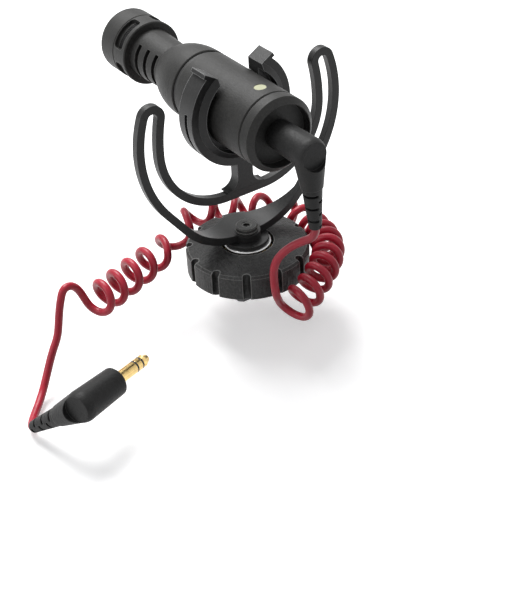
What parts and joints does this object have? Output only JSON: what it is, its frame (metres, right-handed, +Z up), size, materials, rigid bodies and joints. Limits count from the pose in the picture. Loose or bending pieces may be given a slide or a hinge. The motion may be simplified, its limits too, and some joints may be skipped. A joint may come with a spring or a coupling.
{
  "type": "on-camera microphone",
  "caption": "Small cylindrical shotgun microphone in a springy lyre cradle on a shoe foot with a clamping thumbwheel, with a curly cord between two angled jack plugs.",
  "frame": {"origin": "middle of the shoe foot's underside, on the axis of the thumbwheel and stud", "axes": "+Z up along the stud, +Y to the front of the microphone, +X to its right"},
  "size_m": [0.112, 0.0955, 0.0816],
  "materials": {
    "matte_black": "satin",
    "lyre_plastic": "satin",
    "wheel_black": "satin",
    "tube_grey": "matt, painted",
    "bright_metal": "polished",
    "foot_metal": "anodised",
    "brass": "turned",
    "gold": "plated",
    "dark_steel": "blackened",
    "plug_black": "satin moulded",
    "plug_insulator": "satin",
    "cord_red": "glossy",
    "mesh_dark": "woven mesh",
    "foam_dark": "open foam",
    "ring_rubber": "matt",
    "dot_pale": "satin",
    "board_green": "solder mask",
    "capacitor_black": "sleeved"
  },
  "bodies": {
    "base": {"shoe_foot": "foot_metal", "mounting_stud": "bright_metal", "lyre_spacer": "matte_black", "lyre_saddle": "lyre_plastic", "seat_washer": "dark_steel", "lyre_screw": "dark_steel"},
    "carrier": {"clamp_washer": "dark_steel"},
    "wheel": {"thumbwheel": "wheel_black", "wheel_insert": "brass"},
    "microphone": {"lyre_arm_left": "lyre_plastic", "lyre_arm_right": "lyre_plastic", "lyre_inner_arm": "lyre_plastic", "cradle_clip": "lyre_plastic", "body_tube": "tube_grey", "orientation_dot": "dot_pale", "joint_ring": "ring_rubber", "neck_tube": "tube_grey", "head_cage": "tube_grey", "head_ring": "tube_grey", "front_mesh": "mesh_dark", "front_foam": "foam_dark", "slot_screen": "mesh_dark", "neck_screen": "mesh_dark", "capsule_gasket": "ring_rubber", "capsule": "bright_metal", "capsule_carrier": "matte_black", "capsule_lead_live": "bright_metal", "capsule_lead_ground": "bright_metal", "circuit_board": "board_green", "board_capacitor_1": "capacitor_black", "board_capacitor_2": "capacitor_black", "board_transistor": "matte_black", "rear_cap": "tube_grey", "jack_housing": "matte_black", "jack_nut": "bright_metal", "jack_sleeve_contact": "gold", "jack_ring_contact": "gold", "jack_tip_contact": "gold", "curly_cord": "cord_red", "far_lead": "cord_red", "far_plug_housing": "plug_black", "far_plug_relief": "plug_black", "far_plug_sleeve": "gold", "far_plug_ring": "gold", "far_plug_tip": "gold", "far_plug_insulator": "plug_insulator"},
    "near_plug": {"near_lead": "cord_red", "near_plug_housing": "plug_black", "near_plug_relief": "plug_black", "near_plug_sleeve": "gold", "near_plug_ring": "gold", "near_plug_tip": "gold", "near_plug_insulator": "plug_insulator"}
  },
  "joints": [
    {"name": "wheel_lift", "type": "slide", "parent": "base", "child": "carrier", "axis": [0, 0, 1], "range_m": [0, 0.001]},
    {"name": "wheel_turn", "type": "hinge", "parent": "carrier", "child": "wheel", "pos_m": [0, 0, 0.008], "axis": [0, 0, 1], "range_deg": [0, 360]},
    {"name": "suspension", "type": "slide", "parent": "base", "child": "microphone", "axis": [0, 0, 1], "range_m": [-0.002, 0.002], "stiffness_N_per_m": 1500, "springref_m": 0.00027, "deforming": ["lyre_arm_left", "lyre_arm_right"]},
    {"name": "plug_pull", "type": "slide", "parent": "microphone", "child": "near_plug", "axis": [0, -1, 0], "range_m": [0, 0.015], "deforming": ["near_lead"]}
  ],
  "couplings": [
    {"joint": "wheel_turn", "follows": "wheel_lift", "rad_per_m": 6283.2}
  ]
}
